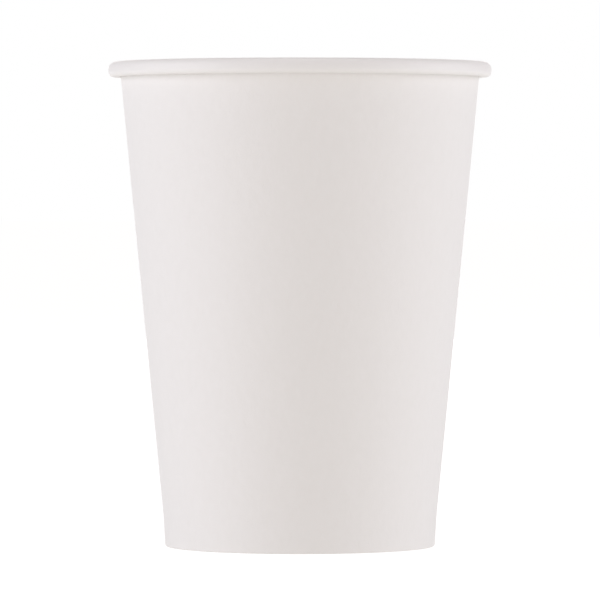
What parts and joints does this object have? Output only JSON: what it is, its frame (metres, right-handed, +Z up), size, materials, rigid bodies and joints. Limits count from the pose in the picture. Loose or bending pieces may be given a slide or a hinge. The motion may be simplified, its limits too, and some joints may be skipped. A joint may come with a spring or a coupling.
{
  "type": "paper cup",
  "caption": "Plain white single-wall paper cup for hot drinks, tapered, with a rolled rim, an overlapped side seam and a recessed bottom.",
  "frame": {"origin": "centre of the foot's ring, on the plane that the cup stands on", "axes": "+Z up along the cup's axis, -Y towards the front, +Y towards the side seam at the back"},
  "size_m": [0.08, 0.08, 0.1011],
  "materials": {
    "sidewall_board": "matte uncoated outside, coated inside",
    "bottom_board": "coated, low sheen"
  },
  "bodies": {
    "root": {"sidewall": "sidewall_board", "bottom_disc": "bottom_board"}
  },
  "joints": []
}
